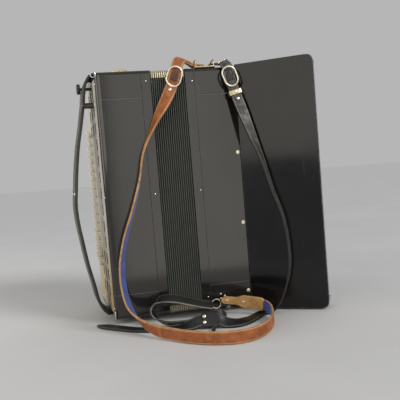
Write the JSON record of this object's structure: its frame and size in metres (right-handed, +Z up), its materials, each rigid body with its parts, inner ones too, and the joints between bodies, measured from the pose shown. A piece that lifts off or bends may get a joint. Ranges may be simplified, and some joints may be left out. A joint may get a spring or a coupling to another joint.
{
  "type": "piano accordion",
  "caption": "Piano accordion with angled keyboard board, pleated bellows, bass box with arched hand strap, and slack leather shoulder straps.",
  "frame": {"origin": "middle of the underside of the whole, straps included, on the floor it stands on", "axes": "+Z up, +X from the bass end towards the keyboard, +Y from the player's side towards the front"},
  "size_m": [0.4356, 0.3524, 0.4518],
  "materials": {
    "celluloid": "polished black celluloid on wood",
    "celluloid_frame": "polished black celluloid on wood",
    "keyboard_board": "polished black celluloid, finely scratched",
    "bellows_cloth": "black cloth over folded card",
    "cream_plate": "aged cream sheet",
    "ivory_key": "polished",
    "ebony_key": "polished",
    "bass_button": "polished",
    "steel": "drawn",
    "nickel": "worn nickel plate",
    "brass": "worn",
    "brown_leather": "smooth tan-brown outside, blue cloth lining",
    "black_leather": "worn, greyed",
    "black_plastic": "polished"
  },
  "bodies": {
    "treble_side": {"treble_casing": "celluloid", "treble_grille": "celluloid", "treble_bellows_frame": "celluloid_frame", "keyboard_board": "keyboard_board", "key_axle": "steel", "bellows": "bellows_cloth", "top_strap_bracket": "nickel", "bottom_strap_bracket": "nickel", "brown_shoulder_strap": "brown_leather", "black_shoulder_strap": "black_leather", "lower_belt": "black_leather", "brown_strap_ring": "brass", "black_strap_ring": "nickel", "belt_buckle": "black_leather"},
    "bass_side": {"bass_casing": "celluloid", "bass_plate": "cream_plate", "bass_bellows_frame": "celluloid_frame", "hand_strap": "black_leather"},
    "air_button_body": {"air_button": "black_plastic"},
    "strap_knob_body": {"strap_knob": "black_plastic"},
    "adjuster_wheel_body": {"strap_adjuster_wheel": "brass"},
    "bass_button_row_1_body": {"bass_button_row_1": "bass_button"},
    "bass_button_row_2_body": {"bass_button_row_2": "bass_button"},
    "bass_button_row_3_body": {"bass_button_row_3": "bass_button"},
    "bass_button_row_4_body": {"bass_button_row_4": "bass_button"},
    "bass_button_row_5_body": {"bass_button_row_5": "bass_button"},
    "white_key_01_body": {"white_key_01": "ivory_key"},
    "white_key_02_body": {"white_key_02": "ivory_key"},
    "white_key_03_body": {"white_key_03": "ivory_key"},
    "white_key_04_body": {"white_key_04": "ivory_key"},
    "white_key_05_body": {"white_key_05": "ivory_key"},
    "white_key_06_body": {"white_key_06": "ivory_key"},
    "white_key_07_body": {"white_key_07": "ivory_key"},
    "white_key_08_body": {"white_key_08": "ivory_key"},
    "white_key_09_body": {"white_key_09": "ivory_key"},
    "white_key_10_body": {"white_key_10": "ivory_key"},
    "white_key_11_body": {"white_key_11": "ivory_key"},
    "white_key_12_body": {"white_key_12": "ivory_key"},
    "white_key_13_body": {"white_key_13": "ivory_key"},
    "white_key_14_body": {"white_key_14": "ivory_key"},
    "white_key_15_body": {"white_key_15": "ivory_key"},
    "white_key_16_body": {"white_key_16": "ivory_key"},
    "white_key_17_body": {"white_key_17": "ivory_key"},
    "white_key_18_body": {"white_key_18": "ivory_key"},
    "white_key_19_body": {"white_key_19": "ivory_key"},
    "white_key_20_body": {"white_key_20": "ivory_key"},
    "black_key_01_body": {"black_key_01": "ebony_key"},
    "black_key_02_body": {"black_key_02": "ebony_key"},
    "black_key_03_body": {"black_key_03": "ebony_key"},
    "black_key_04_body": {"black_key_04": "ebony_key"},
    "black_key_05_body": {"black_key_05": "ebony_key"},
    "black_key_06_body": {"black_key_06": "ebony_key"},
    "black_key_07_body": {"black_key_07": "ebony_key"},
    "black_key_08_body": {"black_key_08": "ebony_key"},
    "black_key_09_body": {"black_key_09": "ebony_key"},
    "black_key_10_body": {"black_key_10": "ebony_key"},
    "black_key_11_body": {"black_key_11": "ebony_key"},
    "black_key_12_body": {"black_key_12": "ebony_key"},
    "black_key_13_body": {"black_key_13": "ebony_key"},
    "black_key_14_body": {"black_key_14": "ebony_key"}
  },
  "joints": [
    {"name": "bellows_slide", "type": "slide", "parent": "treble_side", "child": "bass_side", "axis": [-1, 0, 0], "range_m": [0, 0.25], "deforming": ["bellows"]},
    {"name": "air_button_press", "type": "slide", "parent": "bass_side", "child": "air_button_body", "axis": [0.9903, 0.1392, 0], "range_m": [0, 0.005], "stiffness_N_per_m": 300, "springref_m": -0.005},
    {"name": "adjuster_wheel_turn", "type": "hinge", "parent": "bass_side", "child": "adjuster_wheel_body", "pos_m": [-0.11514, 0.01525, 0.432], "axis": [0, 0, 1], "continuous": true},
    {"name": "strap_knob_turn", "type": "hinge", "parent": "bass_side", "child": "strap_knob_body", "pos_m": [-0.18749, 0.04909, 0.4124], "axis": [-0.9903, -0.1392, 0], "continuous": true},
    {"name": "bass_row_1_press", "type": "slide", "parent": "bass_side", "child": "bass_button_row_1_body", "axis": [0.9903, 0.1392, 0], "range_m": [0, 0.004], "stiffness_N_per_m": 500, "springref_m": -0.004},
    {"name": "bass_row_2_press", "type": "slide", "parent": "bass_side", "child": "bass_button_row_2_body", "axis": [0.9903, 0.1392, 0], "range_m": [0, 0.004], "stiffness_N_per_m": 500, "springref_m": -0.004},
    {"name": "bass_row_3_press", "type": "slide", "parent": "bass_side", "child": "bass_button_row_3_body", "axis": [0.9903, 0.1392, 0], "range_m": [0, 0.004], "stiffness_N_per_m": 500, "springref_m": -0.004},
    {"name": "bass_row_4_press", "type": "slide", "parent": "bass_side", "child": "bass_button_row_4_body", "axis": [0.9903, 0.1392, 0], "range_m": [0, 0.004], "stiffness_N_per_m": 500, "springref_m": -0.004},
    {"name": "bass_row_5_press", "type": "slide", "parent": "bass_side", "child": "bass_button_row_5_body", "axis": [0.9903, 0.1392, 0], "range_m": [0, 0.004], "stiffness_N_per_m": 500, "springref_m": -0.004},
    {"name": "white_key_01_press", "type": "hinge", "parent": "treble_side", "child": "white_key_01_body", "pos_m": [0.07193, 0.03353, 0.22], "axis": [0, 0, -1], "range_deg": [0, 1.7], "stiffness_Nm_per_rad": 0.6, "springref_deg": -6.88},
    {"name": "white_key_02_press", "type": "hinge", "parent": "treble_side", "child": "white_key_02_body", "pos_m": [0.07193, 0.03353, 0.22], "axis": [0, 0, -1], "range_deg": [0, 1.7], "stiffness_Nm_per_rad": 0.6, "springref_deg": -6.88},
    {"name": "white_key_03_press", "type": "hinge", "parent": "treble_side", "child": "white_key_03_body", "pos_m": [0.07193, 0.03353, 0.22], "axis": [0, 0, -1], "range_deg": [0, 1.7], "stiffness_Nm_per_rad": 0.6, "springref_deg": -6.88},
    {"name": "white_key_04_press", "type": "hinge", "parent": "treble_side", "child": "white_key_04_body", "pos_m": [0.07193, 0.03353, 0.22], "axis": [0, 0, -1], "range_deg": [0, 1.7], "stiffness_Nm_per_rad": 0.6, "springref_deg": -6.88},
    {"name": "white_key_05_press", "type": "hinge", "parent": "treble_side", "child": "white_key_05_body", "pos_m": [0.07193, 0.03353, 0.22], "axis": [0, 0, -1], "range_deg": [0, 1.7], "stiffness_Nm_per_rad": 0.6, "springref_deg": -6.88},
    {"name": "white_key_06_press", "type": "hinge", "parent": "treble_side", "child": "white_key_06_body", "pos_m": [0.07193, 0.03353, 0.22], "axis": [0, 0, -1], "range_deg": [0, 1.7], "stiffness_Nm_per_rad": 0.6, "springref_deg": -6.88},
    {"name": "white_key_07_press", "type": "hinge", "parent": "treble_side", "child": "white_key_07_body", "pos_m": [0.07193, 0.03353, 0.22], "axis": [0, 0, -1], "range_deg": [0, 1.7], "stiffness_Nm_per_rad": 0.6, "springref_deg": -6.88},
    {"name": "white_key_08_press", "type": "hinge", "parent": "treble_side", "child": "white_key_08_body", "pos_m": [0.07193, 0.03353, 0.22], "axis": [0, 0, -1], "range_deg": [0, 1.7], "stiffness_Nm_per_rad": 0.6, "springref_deg": -6.88},
    {"name": "white_key_09_press", "type": "hinge", "parent": "treble_side", "child": "white_key_09_body", "pos_m": [0.07193, 0.03353, 0.22], "axis": [0, 0, -1], "range_deg": [0, 1.7], "stiffness_Nm_per_rad": 0.6, "springref_deg": -6.88},
    {"name": "white_key_10_press", "type": "hinge", "parent": "treble_side", "child": "white_key_10_body", "pos_m": [0.07193, 0.03353, 0.22], "axis": [0, 0, -1], "range_deg": [0, 1.7], "stiffness_Nm_per_rad": 0.6, "springref_deg": -6.88},
    {"name": "white_key_11_press", "type": "hinge", "parent": "treble_side", "child": "white_key_11_body", "pos_m": [0.07193, 0.03353, 0.22], "axis": [0, 0, -1], "range_deg": [0, 1.7], "stiffness_Nm_per_rad": 0.6, "springref_deg": -6.88},
    {"name": "white_key_12_press", "type": "hinge", "parent": "treble_side", "child": "white_key_12_body", "pos_m": [0.07193, 0.03353, 0.22], "axis": [0, 0, -1], "range_deg": [0, 1.7], "stiffness_Nm_per_rad": 0.6, "springref_deg": -6.88},
    {"name": "white_key_13_press", "type": "hinge", "parent": "treble_side", "child": "white_key_13_body", "pos_m": [0.07193, 0.03353, 0.22], "axis": [0, 0, -1], "range_deg": [0, 1.7], "stiffness_Nm_per_rad": 0.6, "springref_deg": -6.88},
    {"name": "white_key_14_press", "type": "hinge", "parent": "treble_side", "child": "white_key_14_body", "pos_m": [0.07193, 0.03353, 0.22], "axis": [0, 0, -1], "range_deg": [0, 1.7], "stiffness_Nm_per_rad": 0.6, "springref_deg": -6.88},
    {"name": "white_key_15_press", "type": "hinge", "parent": "treble_side", "child": "white_key_15_body", "pos_m": [0.07193, 0.03353, 0.22], "axis": [0, 0, -1], "range_deg": [0, 1.7], "stiffness_Nm_per_rad": 0.6, "springref_deg": -6.88},
    {"name": "white_key_16_press", "type": "hinge", "parent": "treble_side", "child": "white_key_16_body", "pos_m": [0.07193, 0.03353, 0.22], "axis": [0, 0, -1], "range_deg": [0, 1.7], "stiffness_Nm_per_rad": 0.6, "springref_deg": -6.88},
    {"name": "white_key_17_press", "type": "hinge", "parent": "treble_side", "child": "white_key_17_body", "pos_m": [0.07193, 0.03353, 0.22], "axis": [0, 0, -1], "range_deg": [0, 1.7], "stiffness_Nm_per_rad": 0.6, "springref_deg": -6.88},
    {"name": "white_key_18_press", "type": "hinge", "parent": "treble_side", "child": "white_key_18_body", "pos_m": [0.07193, 0.03353, 0.22], "axis": [0, 0, -1], "range_deg": [0, 1.7], "stiffness_Nm_per_rad": 0.6, "springref_deg": -6.88},
    {"name": "white_key_19_press", "type": "hinge", "parent": "treble_side", "child": "white_key_19_body", "pos_m": [0.07193, 0.03353, 0.22], "axis": [0, 0, -1], "range_deg": [0, 1.7], "stiffness_Nm_per_rad": 0.6, "springref_deg": -6.88},
    {"name": "white_key_20_press", "type": "hinge", "parent": "treble_side", "child": "white_key_20_body", "pos_m": [0.07193, 0.03353, 0.22], "axis": [0, 0, -1], "range_deg": [0, 1.7], "stiffness_Nm_per_rad": 0.6, "springref_deg": -6.88},
    {"name": "black_key_01_press", "type": "hinge", "parent": "treble_side", "child": "black_key_01_body", "pos_m": [0.07193, 0.03353, 0.22], "axis": [0, 0, -1], "range_deg": [0, 1.7], "stiffness_Nm_per_rad": 0.6, "springref_deg": -6.88},
    {"name": "black_key_02_press", "type": "hinge", "parent": "treble_side", "child": "black_key_02_body", "pos_m": [0.07193, 0.03353, 0.22], "axis": [0, 0, -1], "range_deg": [0, 1.7], "stiffness_Nm_per_rad": 0.6, "springref_deg": -6.88},
    {"name": "black_key_03_press", "type": "hinge", "parent": "treble_side", "child": "black_key_03_body", "pos_m": [0.07193, 0.03353, 0.22], "axis": [0, 0, -1], "range_deg": [0, 1.7], "stiffness_Nm_per_rad": 0.6, "springref_deg": -6.88},
    {"name": "black_key_04_press", "type": "hinge", "parent": "treble_side", "child": "black_key_04_body", "pos_m": [0.07193, 0.03353, 0.22], "axis": [0, 0, -1], "range_deg": [0, 1.7], "stiffness_Nm_per_rad": 0.6, "springref_deg": -6.88},
    {"name": "black_key_05_press", "type": "hinge", "parent": "treble_side", "child": "black_key_05_body", "pos_m": [0.07193, 0.03353, 0.22], "axis": [0, 0, -1], "range_deg": [0, 1.7], "stiffness_Nm_per_rad": 0.6, "springref_deg": -6.88},
    {"name": "black_key_06_press", "type": "hinge", "parent": "treble_side", "child": "black_key_06_body", "pos_m": [0.07193, 0.03353, 0.22], "axis": [0, 0, -1], "range_deg": [0, 1.7], "stiffness_Nm_per_rad": 0.6, "springref_deg": -6.88},
    {"name": "black_key_07_press", "type": "hinge", "parent": "treble_side", "child": "black_key_07_body", "pos_m": [0.07193, 0.03353, 0.22], "axis": [0, 0, -1], "range_deg": [0, 1.7], "stiffness_Nm_per_rad": 0.6, "springref_deg": -6.88},
    {"name": "black_key_08_press", "type": "hinge", "parent": "treble_side", "child": "black_key_08_body", "pos_m": [0.07193, 0.03353, 0.22], "axis": [0, 0, -1], "range_deg": [0, 1.7], "stiffness_Nm_per_rad": 0.6, "springref_deg": -6.88},
    {"name": "black_key_09_press", "type": "hinge", "parent": "treble_side", "child": "black_key_09_body", "pos_m": [0.07193, 0.03353, 0.22], "axis": [0, 0, -1], "range_deg": [0, 1.7], "stiffness_Nm_per_rad": 0.6, "springref_deg": -6.88},
    {"name": "black_key_10_press", "type": "hinge", "parent": "treble_side", "child": "black_key_10_body", "pos_m": [0.07193, 0.03353, 0.22], "axis": [0, 0, -1], "range_deg": [0, 1.7], "stiffness_Nm_per_rad": 0.6, "springref_deg": -6.88},
    {"name": "black_key_11_press", "type": "hinge", "parent": "treble_side", "child": "black_key_11_body", "pos_m": [0.07193, 0.03353, 0.22], "axis": [0, 0, -1], "range_deg": [0, 1.7], "stiffness_Nm_per_rad": 0.6, "springref_deg": -6.88},
    {"name": "black_key_12_press", "type": "hinge", "parent": "treble_side", "child": "black_key_12_body", "pos_m": [0.07193, 0.03353, 0.22], "axis": [0, 0, -1], "range_deg": [0, 1.7], "stiffness_Nm_per_rad": 0.6, "springref_deg": -6.88},
    {"name": "black_key_13_press", "type": "hinge", "parent": "treble_side", "child": "black_key_13_body", "pos_m": [0.07193, 0.03353, 0.22], "axis": [0, 0, -1], "range_deg": [0, 1.7], "stiffness_Nm_per_rad": 0.6, "springref_deg": -6.88},
    {"name": "black_key_14_press", "type": "hinge", "parent": "treble_side", "child": "black_key_14_body", "pos_m": [0.07193, 0.03353, 0.22], "axis": [0, 0, -1], "range_deg": [0, 1.7], "stiffness_Nm_per_rad": 0.6, "springref_deg": -6.88}
  ]
}
